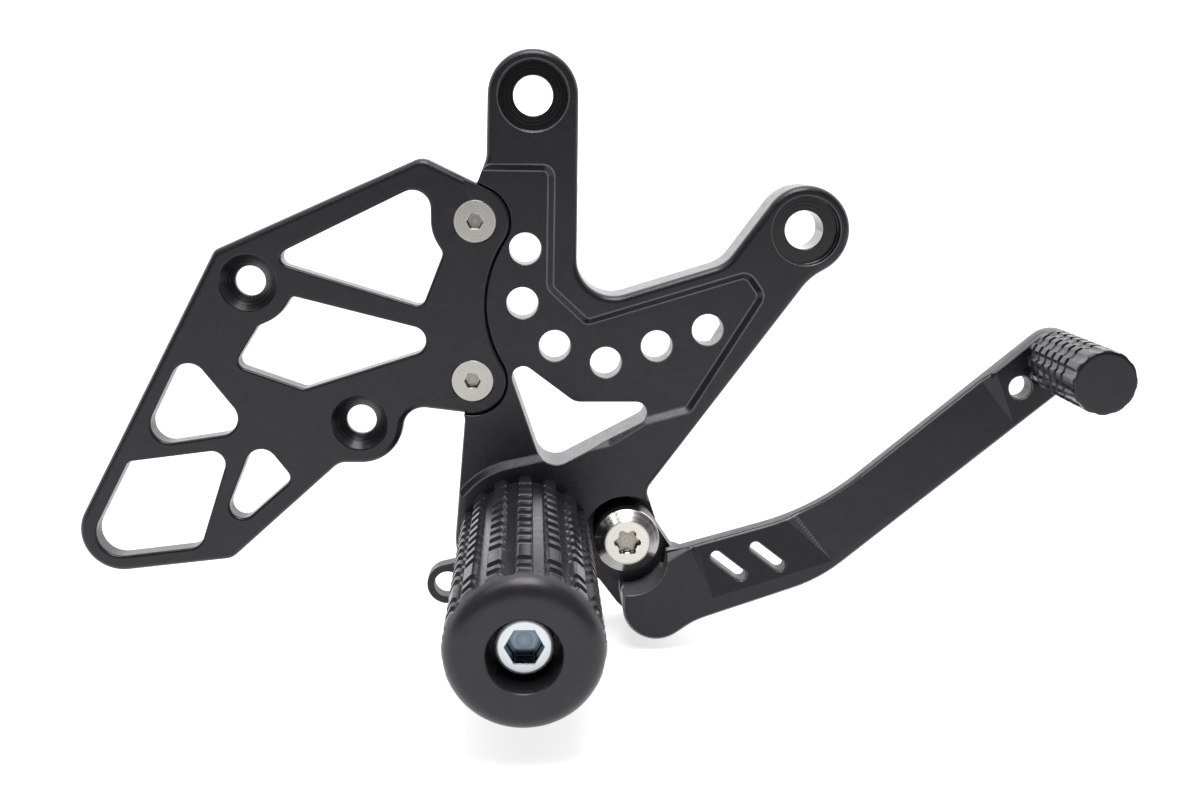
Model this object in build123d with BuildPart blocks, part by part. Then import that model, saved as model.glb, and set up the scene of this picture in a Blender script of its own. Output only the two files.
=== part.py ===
# Rear set footrest for the brake side of a motorcycle, in millimetres.
# +X is the front of the machine, +Y is inboard, +Z is up.
# The origin is on the axis of the upper frame bolt, in the back face of the bracket.
# Heights of plates and pieces are measured outboard from that back face.

import os
from math import acos, atan2, cos, degrees, dist, radians, sin, sqrt

from build123d import *

# Bracket plate
plate_thickness = 15.0
recess_depth = 1.5
recess_slope = 1.8
web_thickness = 8.0
outer_round = 2.0
edge_break = 0.5
rear_break = 0.8

# Frame bolts
upper_hole = (0.0, 0.0)
front_hole = (76.8, -36.3)
ear_radius = 12.5
frame_bolt_hole = 11.0
frame_seat_diameter = 19.5
frame_seat_depth = 3.5

# Lightening holes of the web
lightening_diameter = 9.0
lightening_holes = [(-2.2, -41.9), (-3.0, -57.2), (6.2, -69.4), (20.8, -74.2), (35.3, -69.4), (49.8, -64.7)]

# Heel guard
guard_thickness = 6.0
joint_gap = 0.4
upper_guard_screw = (-16.2, -34.4)
lower_guard_screw = (-17.2, -79.6)
guard_lobe = 9.7
guard_lobe_wall = 12.2
waist_radius = 33.0
waist_flat = 1.5
guard_split = -19.0

# Brake master cylinder holes in the heel guard
upper_cylinder_hole = (-79.4, -51.7)
cylinder_pitch = 50.0
cylinder_angle = -53.0
cylinder_hole = 8.4
cylinder_sink = 16.0
cylinder_lobe = 12.2

# Screws with a nominal diameter of six
screw_diameter = 6.0
screw_head = 12.0
screw_socket = 4.0
socket_depth = 2.6
thread_clearance = 0.05
seat_clearance = 0.05
screw_end_margin = 0.8
screw_clearance = 0.3
guard_reach = 400.0

# Footpeg
peg_centre = (-2.2, -126.5)
peg_diameter = 38.5
peg_length = 88.0
peg_boss_radius = 20.3
peg_step_radius = 23.0
peg_end_round = 5.5
peg_rib_count = 16
peg_slot_width = 3.5
peg_slot_depth = 1.7
peg_ring_count = 13
peg_plain_ring = 10
peg_ring_pitch = 6.2
peg_ring_width = 3.0
peg_ring_depth = 1.2
peg_first_ring = 4.1
peg_counterbore = 18.0
peg_head_sink = 6.0
peg_bolt_diameter = 8.0
peg_bolt_head = 13.8
peg_bolt_socket = 8.0
peg_bolt_clearance = 0.3
peg_bolt_grip = 13.0

# Pedal pivot
pivot = (27.3, -125.9)
pivot_ear_radius = 9.8
pivot_ear_thickness = 5.5
pivot_pocket_radius = 12.5
bush_diameter = 10.0
bush_flange = 18.8
bush_rim = 1.1
bush_cone = 2.4
bush_face = 12.9
liner_wall = 1.0
liner_flange = 17.0
liner_flange_thickness = 0.8
running_clearance = 0.03
side_clearance = 0.1
pivot_lobe_circle = 2.9
pivot_lobe_radius = 0.9
pivot_socket_depth = 2.0

# Brake lever
lever_front = 27.5
lever_arm_thickness = 6.0
lever_cheek_thickness = 9.2
lever_hub_radius = 9.3
lever_boss = (35.5, -142.8)
lever_boss_radius = 9.8
lever_notch = (27.5, -128.6)
lever_notch_radius = 10.6
lever_edge = 0.6
lever_face_width = 50.0
lever_face_height = 3.5
lever_face_lean = 71.0
lever_rear_gap = 0.4
lever_rear_thickness = 5.0
lever_rear_boss = 12.8
fork_clearance = 0.6
rod_eye = (-25.9, -145.2)
rod_eye_radius = 6.1
rod_eye_hole = 8.0
lever_slot_length = 12.2
lever_slot_width = 3.2
lever_slot_angle = -37.5
lever_slots = [(55.8, -130.7), (67.0, -128.0)]

# Toe peg
toe_centre = (146.0, -70.9)
toe_diameter = 17.0
toe_length = 34.0
toe_lobe = 8.5
toe_row_count = 12
toe_row_width = 2.0
toe_row_depth = 0.6
toe_ring_count = 6
toe_ring_pitch = 4.5
toe_ring_width = 1.4
toe_first_ring = 2.4
toe_end_chamfer = 0.8
toe_screw_head = 10.0
toe_screw_head_height = 4.0
toe_thread_depth = 14.0
spare_hole = 6.4
spare_hole_spacing = 12.2
arm_angle = 39.8

# Share of a wrapped circle that its rounding takes, so that sides never vanish
arc_slack = 0.995

# Levels outboard of the back face
floor_level = plate_thickness - recess_depth
guard_seat = floor_level - guard_thickness
relief_depth = floor_level - web_thickness
lever_back = lever_front - lever_arm_thickness
cheek_back = pivot_ear_thickness + side_clearance + liner_flange_thickness
cheek_front = cheek_back + lever_cheek_thickness
flange_back = cheek_front + liner_flange_thickness + side_clearance
flange_front = flange_back + bush_rim + bush_cone
peg_end = plate_thickness + peg_length
peg_seat = peg_end - peg_head_sink - peg_bolt_diameter
screw_head_height = (screw_head - screw_diameter) / 2
pivot_head = bush_face
pivot_head_height = bush_face / 2 + seat_clearance - screw_diameter / 2 - screw_clearance


def polar(centre, radius, angle):
    """Point at an angle and a distance from a centre."""
    return (centre[0] + radius * cos(radians(angle)), centre[1] + radius * sin(radians(angle)))


def wrap(before, centre, radius, after, turn=1):
    """Corners whose rounding follows a circle between sides that come from one point and go to another."""
    start, end = [
        degrees(atan2(p[1] - centre[1], p[0] - centre[0]) - side * turn * acos(radius / dist(p, centre)))
        for p, side in ((before, 1), (after, -1))
    ]
    sweep = (turn * (start - end)) % 360
    corners = 1 + int(sweep > 120)
    step = sweep / corners
    reach = radius / cos(radians(step / 2))
    return [
        (*polar(centre, reach, start - turn * step * (k + 0.5)), radius * arc_slack) for k in range(corners)
    ]


def between(first, second, radius, waist):
    """Corner whose rounding joins two equal circles on their left hand side from first to second."""
    half = dist(first, second) / 2
    reach = sqrt((radius + waist) ** 2 - half**2)
    middle = ((first[0] + second[0]) / 2, (first[1] + second[1]) / 2)
    across = degrees(atan2(second[1] - first[1], second[0] - first[0])) + 90
    return polar(middle, reach - waist * (radius + waist) / reach, across)


def outline(*corners):
    """Closed face through corners given as x, z and rounding."""
    with BuildLine() as edge:
        FilletPolyline(*[c[:2] for c in corners], radius=[c[2] for c in corners], close=True)
    make_face(edge.edges())


def turned(spot, *points):
    """Solid of revolution about the axis through a spot, from points given as radius and height."""
    with BuildSketch(Plane((spot[0], 0, spot[1]), x_dir=(1, 0, 0), z_dir=(0, 0, 1))) as section:
        with BuildLine() as edge:
            Polyline(*[(radius, -height) for radius, height in points], close=True)
        make_face(edge.edges())
    return revolve(section.sketch, axis=Axis((spot[0], 0, spot[1]), (0, 1, 0)), mode=Mode.PRIVATE)


def level(height):
    """Sketch plane at a height outboard of the back face, seen from outboard."""
    return Plane.XZ.offset(height)


def sloping(spot, angle, tilt):
    """Sketch plane that leaves the lever's front along a line at an angle and goes deeper above it."""
    turn, lean = radians(angle), radians(tilt)
    facing = (-sin(turn) * sin(lean), -cos(lean), cos(turn) * sin(lean))
    return Plane((spot[0], -lever_front, spot[1]), x_dir=(cos(turn), 0, sin(turn)), z_dir=facing)


lower_cylinder_hole = polar(upper_cylinder_hole, cylinder_pitch, cylinder_angle)
spare_centre = polar(toe_centre, -spare_hole_spacing, arm_angle)
guard_screws = [upper_guard_screw, lower_guard_screw]
cylinder_holes = [upper_cylinder_hole, lower_cylinder_hole]
frame_holes = [upper_hole, front_hole]

# Outer edge of the bracket, clockwise from the upper ear
neck_rear = (-12.9, -16.8)
neck_front = (12.2, -58.8)
front_ear_root = (54.3, -45.8)
front_ear_heel = (78.5, -49.8)
pivot_ear_root = (33.0, -111.9)
pivot_ear_heel = (20.0, -133.2)
rear_edge_foot = (-19.4, -89.6)
bracket_corners = [
    *wrap(neck_rear, upper_hole, ear_radius, neck_front),
    (*neck_front, 10.5),
    (*front_ear_root, 10.0),
    *wrap(front_ear_root, front_hole, ear_radius, front_ear_heel),
    (*front_ear_heel, 16.0),
    (*pivot_ear_root, 4.0),
    *wrap(pivot_ear_root, pivot, pivot_ear_radius, pivot_ear_heel),
    (*pivot_ear_heel, 2.2),
    *wrap(pivot_ear_heel, peg_centre, peg_boss_radius, rear_edge_foot),
    (*rear_edge_foot, 3.0),
    (-23.2, -86.0, 2.5),
    (-23.2, -28.0, 4.0),
    (-15.4, -23.6, 2.2),
    (*neck_rear, 6.0),
]

# Recessed web, from the neck down to the step round the footpeg boss
step_start = (22.0, -97.5)
step_end = (-40.0, -150.0)
recess_corners = [
    (-40.0, -19.3, 1.0),
    (5.1, -19.5, 2.5),
    (4.8, -52.7, 3.0),
    (15.3, -62.5, 2.0),
    (60.6, -48.7, 3.0),
    (65.0, -54.8, 3.0),
    (44.8, -87.7, 2.5),
    (32.0, -91.2, 2.0),
    (*step_start, 2.0),
    *wrap(step_start, peg_centre, peg_step_radius, step_end, turn=-1),
    (*step_end, 1.0),
]

# Relief on the back of the web
relief_corners = [
    (-8.0, -34.5, 2.5),
    (3.6, -34.5, 2.5),
    (3.6, -52.2, 2.5),
    (15.0, -63.6, 2.5),
    (56.5, -51.4, 2.5),
    (59.5, -57.5, 2.5),
    (48.0, -77.0, 2.5),
    (36.0, -81.5, 2.5),
    (14.5, -81.5, 2.5),
    (-1.0, -71.0, 2.5),
    (-8.0, -66.0, 2.5),
]

triangle_corners = [(-9.2, -69.7, 3.2), (12.0, -85.7, 5.0), (42.4, -85.7, 3.2), (3.4, -106.5, 6.0)]

# Outer edge of the heel guard, clockwise from the rear upper corner
guard_apex = (-30.6, -16.8)
guard_waist = between(upper_guard_screw, lower_guard_screw, guard_lobe, waist_radius + waist_flat)
guard_crotch = (-36.2, -87.0)
guard_hip = (-55.7, -103.8)
guard_corners = [
    (-88.5, -42.9, 3.0),
    (*guard_apex, 5.0),
    *wrap(guard_apex, upper_guard_screw, guard_lobe, guard_waist),
    (*guard_waist, waist_radius),
    *wrap(guard_waist, lower_guard_screw, guard_lobe, guard_crotch),
    (*guard_crotch, 6.0),
    *wrap(guard_crotch, lower_cylinder_hole, cylinder_lobe, guard_hip),
    (*guard_hip, 5.0),
    (-87.3, -132.4, 5.0),
    (-139.3, -138.1, 11.8),
]

# Openings of the heel guard, two of them curved round the screw and the upper cylinder hole
opening_peak = (-28.4, -22.9)
opening_toe = (-25.1, -43.3)
middle_rear = (-77.2, -64.1)
middle_top = (-67.4, -55.5)
guard_openings = [
    [
        (-74.1, -45.3, 2.4),
        (*opening_peak, 5.0),
        *wrap(opening_peak, upper_guard_screw, guard_lobe_wall, opening_toe, turn=-1),
        (*opening_toe, 2.2),
        (-31.1, -58.5, 2.4),
    ],
    [
        (*middle_top, 1.7),
        (-19.8, -67.6, 4.0),
        (-64.8, -82.0, 2.4),
        (-84.1, -75.1, 2.4),
        (*middle_rear, 1.6),
        *wrap(middle_rear, upper_cylinder_hole, cylinder_lobe, middle_top, turn=-1),
    ],
    [(-97.9, -70.4, 5.0), (-79.8, -94.1, 5.0), (-112.6, -99.2, 5.5)],
    [(-115.3, -103.2, 2.5), (-86.3, -99.5, 3.7), (-96.0, -128.6, 4.5), (-130.8, -132.7, 7.0)],
    [(-78.8, -95.1, 4.5), (-68.9, -108.3, 2.5), (-93.0, -129.6, 3.7)],
]

# Outer arm of the lever, clockwise from the hub
arm_heel = (25.6, -131.0)
arm_upper_bend = (80.5, -114.8)
arm_lower_bend = (82.2, -134.9)
arm_boss_root = (46.5, -147.1)
arm_corners = [
    (*arm_heel, 2.0),
    (38.0, -126.8, 1.5),
    (*arm_upper_bend, 75.0),
    *wrap(arm_upper_bend, toe_centre, toe_lobe, arm_lower_bend),
    (*arm_lower_bend, 44.0),
    (*arm_boss_root, 20.0),
    *wrap(arm_boss_root, lever_boss, lever_boss_radius, arm_heel),
]

# Cheek of the lever in front of the bracket's ear
cheek_front_root = (42.6, -132.0)
cheek_rear_root = (25.6, -139.0)
cheek_corners = [
    *wrap(cheek_rear_root, pivot, lever_hub_radius, cheek_front_root),
    (*cheek_front_root, 5.0),
    *wrap(cheek_front_root, lever_boss, lever_boss_radius, cheek_rear_root),
    (*cheek_rear_root, 2.0),
]

# Arm of the lever behind the bracket, from the fork to the push-rod eye
rear_arm_top = (20.0, -128.5)
rear_arm_front = (46.4, -134.4)
rear_arm_root = (18.0, -140.6)
rear_corners = [
    *wrap(rear_arm_root, rod_eye, rod_eye_radius, rear_arm_top),
    (*rear_arm_top, 6.0),
    (*rear_arm_front, 5.0),
    *wrap(rear_arm_front, lever_boss, lever_rear_boss, rear_arm_root),
    (*rear_arm_root, 8.0),
]

# Milled faces of the lever: where each leaves the front, its angle, its tilt and its length
lever_faces = [
    ((33.5, -132.7), 33.0, 40.0, 18.0),
    ((51.5, -140.1), 17.7, 2.5, 36.0),
    ((85.4, -129.0), 38.4, 5.8, 64.0),
]

os.makedirs("parts", exist_ok=True)

# Bracket
with BuildPart() as bracket:
    with BuildSketch(level(0)):
        outline(*bracket_corners)
    extrude(amount=plate_thickness)
    fillet(bracket.faces().sort_by(Axis.Y)[0].edges(), outer_round)
    chamfer(bracket.faces().sort_by(Axis.Y)[-1].edges(), rear_break)
    with BuildSketch(level(floor_level)):
        outline(*recess_corners)
        offset(amount=-recess_slope / 2)
    extrude(amount=recess_depth, taper=-degrees(atan2(recess_slope, recess_depth)), mode=Mode.SUBTRACT)
    with BuildSketch(level(guard_seat)):
        outline(*guard_corners)
        offset(amount=joint_gap)
    extrude(amount=plate_thickness - guard_seat, mode=Mode.SUBTRACT)
    with BuildSketch(level(0)):
        outline(*relief_corners)
    extrude(amount=relief_depth, mode=Mode.SUBTRACT)
    with BuildSketch(level(0)):
        outline(*triangle_corners)
        with Locations(*lightening_holes):
            Circle(lightening_diameter / 2)
        with Locations(*frame_holes):
            Circle(frame_bolt_hole / 2)
        with Locations(*guard_screws):
            Circle(screw_diameter / 2 + thread_clearance)
        with Locations(pivot):
            Circle(screw_diameter / 2 + thread_clearance)
        with Locations(peg_centre):
            Circle(peg_bolt_diameter / 2 + thread_clearance)
    extrude(amount=plate_thickness, mode=Mode.SUBTRACT)
    with BuildSketch(level(plate_thickness - frame_seat_depth)):
        with Locations(*frame_holes):
            Circle(frame_seat_diameter / 2)
    extrude(amount=frame_seat_depth, mode=Mode.SUBTRACT)
    with BuildSketch(level(pivot_ear_thickness)):
        with Locations(pivot):
            Circle(pivot_pocket_radius)
    extrude(amount=plate_thickness - pivot_ear_thickness, mode=Mode.SUBTRACT)
bracket.part.label = "bracket"
export_step(bracket.part, "parts/bracket.step")

# Heel guard: the rear part has rounded edges, the part let into the bracket has a fine break
with BuildPart() as guard_rear:
    with BuildSketch(level(guard_seat)):
        outline(*guard_corners)
        with Locations((guard_split, guard_waist[1])):
            Rectangle(guard_reach, guard_reach, align=(Align.MIN, Align.CENTER), mode=Mode.SUBTRACT)
    extrude(amount=guard_thickness)
    rear_edges = guard_rear.faces().sort_by(Axis.Y)[0].edges()
    fillet(rear_edges.filter_by(lambda e: e.center().X < guard_split - edge_break), outer_round)

with BuildPart() as heel_guard:
    with BuildSketch(level(guard_seat)):
        outline(*guard_corners)
        with Locations((guard_split, guard_waist[1])):
            Rectangle(guard_reach, guard_reach, align=(Align.MAX, Align.CENTER), mode=Mode.SUBTRACT)
    extrude(amount=guard_thickness)
    joint_edges = heel_guard.faces().sort_by(Axis.Y)[0].edges()
    chamfer(joint_edges.filter_by(lambda e: e.center().X > guard_split + edge_break), edge_break)
    add(guard_rear.part)
    for corners in guard_openings:
        with BuildSketch(level(guard_seat)):
            outline(*corners)
        extrude(amount=guard_thickness, mode=Mode.SUBTRACT)
    chamfer(heel_guard.faces().sort_by(Axis.Y)[0].inner_wires().edges(), edge_break)
    with Locations(level(floor_level)):
        with Locations(*guard_screws):
            CounterSinkHole(screw_diameter / 2 + screw_clearance, screw_head / 2 + seat_clearance)
        with Locations(*cylinder_holes):
            CounterSinkHole(cylinder_hole / 2, cylinder_sink / 2)
heel_guard.part.label = "heel_guard"
export_step(heel_guard.part, "parts/heel_guard.step")

# Heel guard screws
with BuildPart() as heel_guard_screws:
    for spot in guard_screws:
        add(
            turned(
                spot,
                (0, floor_level),
                (screw_head / 2, floor_level),
                (screw_diameter / 2, floor_level - screw_head_height),
                (screw_diameter / 2, screw_end_margin),
                (0, screw_end_margin),
            )
        )
    with BuildSketch(level(floor_level)):
        with Locations(*guard_screws):
            RegularPolygon(screw_socket / 2, 6, major_radius=False)
    extrude(amount=-socket_depth, mode=Mode.SUBTRACT)
heel_guard_screws.part.label = "heel_guard_screws"
export_step(heel_guard_screws.part, "parts/heel_guard_screws.step")

# Footpeg
with BuildPart() as footpeg:
    with BuildSketch(level(plate_thickness)):
        with Locations(peg_centre):
            Circle(peg_diameter / 2)
    extrude(amount=peg_length)
    fillet(footpeg.faces().sort_by(Axis.Y)[0].edges(), peg_end_round)
    for ring in set(range(peg_ring_count)) - {peg_plain_ring}:
        groove = plate_thickness + peg_first_ring + ring * peg_ring_pitch
        add(
            turned(
                peg_centre,
                (peg_diameter / 2 - peg_ring_depth, groove),
                (peg_diameter / 2 + peg_ring_depth, groove),
                (peg_diameter / 2 + peg_ring_depth, groove + peg_ring_width),
                (peg_diameter / 2 - peg_ring_depth, groove + peg_ring_width),
            ),
            mode=Mode.SUBTRACT,
        )
    with BuildSketch(level(plate_thickness)):
        with Locations(peg_centre):
            with PolarLocations(peg_diameter / 2, peg_rib_count, start_angle=90 + 180 / peg_rib_count):
                Rectangle(2 * peg_slot_depth, peg_slot_width)
    extrude(amount=peg_length - peg_end_round, mode=Mode.SUBTRACT)
    with BuildSketch(level(plate_thickness)):
        with Locations(peg_centre):
            Circle(peg_bolt_diameter / 2 + peg_bolt_clearance)
    extrude(amount=peg_length, mode=Mode.SUBTRACT)
    with BuildSketch(level(peg_seat)):
        with Locations(peg_centre):
            Circle(peg_counterbore / 2)
    extrude(amount=peg_end - peg_seat, mode=Mode.SUBTRACT)
footpeg.part.label = "footpeg"
export_step(footpeg.part, "parts/footpeg.step")

# Footpeg bolt
with BuildPart() as footpeg_bolt:
    add(
        turned(
            peg_centre,
            (0, peg_end - peg_head_sink),
            (peg_bolt_head / 2, peg_end - peg_head_sink),
            (peg_bolt_head / 2, peg_seat),
            (peg_bolt_diameter / 2, peg_seat),
            (peg_bolt_diameter / 2, plate_thickness - peg_bolt_grip),
            (0, plate_thickness - peg_bolt_grip),
        )
    )
    chamfer(footpeg_bolt.faces().sort_by(Axis.Y)[0].edges(), edge_break)
    with BuildSketch(level(peg_end - peg_head_sink)):
        with Locations(peg_centre):
            RegularPolygon(peg_bolt_socket / 2, 6, major_radius=False)
    extrude(amount=-peg_bolt_head / 3, mode=Mode.SUBTRACT)
footpeg_bolt.part.label = "footpeg_bolt"
export_step(footpeg_bolt.part, "parts/footpeg_bolt.step")

# Brake lever: outer arm, boss, cheek in front of the ear and arm behind the bracket
with BuildPart() as brake_lever:
    with BuildSketch(level(lever_back)):
        outline(*arm_corners)
    extrude(amount=lever_arm_thickness)
    chamfer(brake_lever.faces().sort_by(Axis.Y)[0].edges(), lever_edge)
    chamfer(brake_lever.faces().sort_by(Axis.Y)[-1].edges(), lever_edge)
    for start, angle, tilt, length in lever_faces:
        with BuildSketch(sloping(start, angle, tilt)):
            Rectangle(length, lever_face_width, align=(Align.MIN, Align.CENTER))
        extrude(amount=lever_face_height, taper=-lever_face_lean, mode=Mode.SUBTRACT)
    with BuildSketch(level(cheek_back)):
        outline(*cheek_corners)
    extrude(amount=lever_cheek_thickness)
    with BuildSketch(level(-lever_rear_gap)):
        outline(*rear_corners)
    extrude(amount=-lever_rear_thickness)
    with BuildSketch(level(-lever_rear_gap - lever_rear_thickness)):
        with Locations(lever_boss):
            Circle(lever_boss_radius)
    extrude(amount=lever_front - lever_edge + lever_rear_gap + lever_rear_thickness)
    with BuildSketch(level(-lever_rear_gap)):
        with Locations(pivot):
            Circle(pivot_ear_radius + fork_clearance)
    extrude(amount=lever_rear_gap + cheek_back, mode=Mode.SUBTRACT)
    with BuildSketch(level(cheek_front)):
        with Locations(lever_notch):
            Circle(lever_notch_radius)
    extrude(amount=lever_front - cheek_front, mode=Mode.SUBTRACT)
    with BuildSketch(level(cheek_back)):
        with Locations(pivot):
            Circle(bush_diameter / 2 + running_clearance + liner_wall)
    extrude(amount=lever_cheek_thickness, mode=Mode.SUBTRACT)
    with BuildSketch(level(lever_back)):
        with Locations(*lever_slots):
            SlotOverall(lever_slot_length, lever_slot_width, rotation=lever_slot_angle)
        with Locations(spare_centre):
            Circle(spare_hole / 2)
        with Locations(toe_centre):
            Circle(screw_diameter / 2 + screw_clearance)
    extrude(amount=lever_arm_thickness, mode=Mode.SUBTRACT)
    with BuildSketch(level(-lever_rear_gap)):
        with Locations(rod_eye):
            Circle(rod_eye_hole / 2)
    extrude(amount=-lever_rear_thickness, mode=Mode.SUBTRACT)
brake_lever.part.label = "brake_lever"
export_step(brake_lever.part, "parts/brake_lever.step")

# Pivot bush with a conical face
with BuildPart() as pivot_bush:
    add(
        turned(
            pivot,
            (screw_diameter / 2 + screw_clearance, pivot_ear_thickness),
            (bush_diameter / 2, pivot_ear_thickness),
            (bush_diameter / 2, flange_back),
            (bush_flange / 2, flange_back),
            (bush_flange / 2, flange_back + bush_rim),
            (bush_face / 2 + seat_clearance, flange_front),
            (screw_diameter / 2 + screw_clearance, flange_front - pivot_head_height),
        )
    )
pivot_bush.part.label = "pivot_bush"
export_step(pivot_bush.part, "parts/pivot_bush.step")

# Pivot screw with a six-lobe recess
with BuildPart() as pivot_screw:
    add(
        turned(
            pivot,
            (0, flange_front),
            (pivot_head / 2, flange_front),
            (screw_diameter / 2, flange_front - (pivot_head - screw_diameter) / 2),
            (screw_diameter / 2, screw_end_margin),
            (0, screw_end_margin),
        )
    )
    with BuildSketch(level(flange_front)):
        with Locations(pivot):
            Circle(pivot_lobe_circle)
            with PolarLocations(pivot_lobe_circle, 6):
                Circle(pivot_lobe_radius)
    extrude(amount=-pivot_socket_depth, mode=Mode.SUBTRACT)
pivot_screw.part.label = "pivot_screw"
export_step(pivot_screw.part, "parts/pivot_screw.step")

# Flanged plain bearings in the lever's hub
liner_bore = bush_diameter / 2 + running_clearance
liner_rows = {
    "front_pivot_liner": (cheek_front, -lever_cheek_thickness / 2, liner_flange_thickness),
    "rear_pivot_liner": (cheek_back, lever_cheek_thickness / 2, -liner_flange_thickness),
}
for name, (face, barrel, flange) in liner_rows.items():
    with BuildPart() as liner:
        add(
            turned(
                pivot,
                (liner_bore, face + barrel),
                (liner_bore + liner_wall, face + barrel),
                (liner_bore + liner_wall, face),
                (liner_flange / 2, face),
                (liner_flange / 2, face + flange),
                (liner_bore, face + flange),
            )
        )
    liner.part.label = name
    export_step(liner.part, f"parts/{name}.step")

# Toe peg
with BuildPart() as toe_peg:
    with BuildSketch(level(lever_front)):
        with Locations(toe_centre):
            Circle(toe_diameter / 2)
    extrude(amount=toe_length)
    chamfer(toe_peg.faces().sort_by(Axis.Y)[0].edges(), toe_end_chamfer)
    for ring in range(toe_ring_count):
        groove = lever_front + toe_first_ring + ring * toe_ring_pitch
        add(
            turned(
                toe_centre,
                (toe_diameter / 2 - toe_row_depth, groove),
                (toe_diameter / 2 + toe_row_depth, groove),
                (toe_diameter / 2 + toe_row_depth, groove + toe_ring_width),
                (toe_diameter / 2 - toe_row_depth, groove + toe_ring_width),
            ),
            mode=Mode.SUBTRACT,
        )
    with BuildSketch(level(lever_front)):
        with Locations(toe_centre):
            with PolarLocations(toe_diameter / 2, toe_row_count, start_angle=180 / toe_row_count):
                Rectangle(2 * toe_row_depth, toe_row_width)
    extrude(amount=toe_length, mode=Mode.SUBTRACT)
    with BuildSketch(level(lever_front)):
        with Locations(toe_centre):
            Circle(screw_diameter / 2 + thread_clearance)
    extrude(amount=toe_thread_depth, mode=Mode.SUBTRACT)
toe_peg.part.label = "toe_peg"
export_step(toe_peg.part, "parts/toe_peg.step")

# Toe peg screw, with its head behind the lever
with BuildPart() as toe_peg_screw:
    add(
        turned(
            toe_centre,
            (0, lever_back - toe_screw_head_height),
            (toe_screw_head / 2, lever_back - toe_screw_head_height),
            (toe_screw_head / 2, lever_back),
            (screw_diameter / 2, lever_back),
            (screw_diameter / 2, lever_front + toe_thread_depth - screw_end_margin),
            (0, lever_front + toe_thread_depth - screw_end_margin),
        )
    )
    with BuildSketch(level(lever_back - toe_screw_head_height)):
        with Locations(toe_centre):
            RegularPolygon(screw_socket / 2, 6, major_radius=False)
    extrude(amount=socket_depth, mode=Mode.SUBTRACT)
toe_peg_screw.part.label = "toe_peg_screw"
export_step(toe_peg_screw.part, "parts/toe_peg_screw.step")
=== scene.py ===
# Looks of the rear set footrest: rounded edges, ribbed pegs and metal finishes

from math import atan2, hypot, pi, radians

import bmesh
import bpy
from mathutils import Matrix, Vector


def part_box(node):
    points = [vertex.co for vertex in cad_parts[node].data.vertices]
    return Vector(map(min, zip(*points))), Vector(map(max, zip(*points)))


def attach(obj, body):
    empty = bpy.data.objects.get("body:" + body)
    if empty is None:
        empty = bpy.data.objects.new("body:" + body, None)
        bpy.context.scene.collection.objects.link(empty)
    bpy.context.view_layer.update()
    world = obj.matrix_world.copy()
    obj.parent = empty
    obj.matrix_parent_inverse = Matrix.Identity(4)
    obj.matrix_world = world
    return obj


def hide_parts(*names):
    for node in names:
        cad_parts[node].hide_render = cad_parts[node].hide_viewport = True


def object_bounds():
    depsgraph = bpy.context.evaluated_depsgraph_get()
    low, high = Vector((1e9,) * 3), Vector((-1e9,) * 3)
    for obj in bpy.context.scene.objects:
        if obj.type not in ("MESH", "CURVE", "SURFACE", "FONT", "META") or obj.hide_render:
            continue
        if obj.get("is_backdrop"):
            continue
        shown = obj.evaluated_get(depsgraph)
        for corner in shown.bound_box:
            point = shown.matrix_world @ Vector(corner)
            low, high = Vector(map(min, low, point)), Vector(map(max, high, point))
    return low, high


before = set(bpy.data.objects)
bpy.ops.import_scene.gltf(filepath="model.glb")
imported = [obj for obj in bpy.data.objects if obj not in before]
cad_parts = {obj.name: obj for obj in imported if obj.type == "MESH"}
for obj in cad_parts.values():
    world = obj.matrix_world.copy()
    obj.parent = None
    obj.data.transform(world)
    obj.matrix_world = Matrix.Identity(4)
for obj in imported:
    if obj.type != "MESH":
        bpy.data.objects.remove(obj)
cad_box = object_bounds()

MM = 0.001

# Places and sizes shared with the solids, in millimetres; heights are outboard of the bracket's back
UPPER_GUARD_SCREW = (-16.2, -34.4)
LOWER_GUARD_SCREW = (-17.2, -79.6)
GUARD_SCREWS = (UPPER_GUARD_SCREW, LOWER_GUARD_SCREW)
GUARD_SEAT = (UPPER_GUARD_SCREW, (-17.0, -50.0), (-17.0, -64.0), LOWER_GUARD_SCREW)
CYLINDER_HOLES = ((-79.4, -51.7), (-49.31, -91.63))
FRAME_HOLES = ((0.0, 0.0), (76.8, -36.3))
PEG_CENTRE = (-2.2, -126.5)
PEG_BASE = 15.0
PEG_LENGTH = 88.0
PEG_RADIUS = 19.25
PEG_END_RING = 13.0
PEG_SINK = 9.0
PEG_SINK_FLOOR = 74.0
PEG_SINK_LIP = 0.2
PEG_BORE = 4.3
PIVOT = (27.3, -125.9)
LEVER_BACK = 22.5
LEVER_POCKET = (27.5, -128.6, 13.0)
LEVER_POCKET_FLOOR = 16.5
LEVER_OPENINGS = (LEVER_POCKET, (55.8, -130.7, 7.5), (67.0, -128.0, 7.5), (136.6, -78.7, 5.0))
LEVER_STEP_TOP = (75.2, -116.6)
LEVER_STEP_FOOT = (85.6, -128.75)
LEVER_STEP_SPAN = (70.0, 95.0)
TOE_FLAT = 126.0
TOE_CENTRE = (146.0, -70.9)
TOE_BASE = 27.5
TOE_LENGTH = 34.0
TOE_RADIUS = 8.5
TOE_END_RING = 7.3
TOE_BORE = 3.05
TOE_BORE_DEPTH = 14.0

# Camera at the photograph's place
CAMERA_PLACE = (-0.00111, -0.39264, -0.00687)
CAMERA_RIGHT = (0.9986, -0.0514, 0.0106)
CAMERA_UP = (0.0, 0.2021, 0.9793)
CAMERA_BACK = (-0.0525, -0.978, 0.2018)
SENSOR_WIDTH = 36.0
FOCAL_LENGTH = 40.5
NEAREST = 0.01


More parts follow.
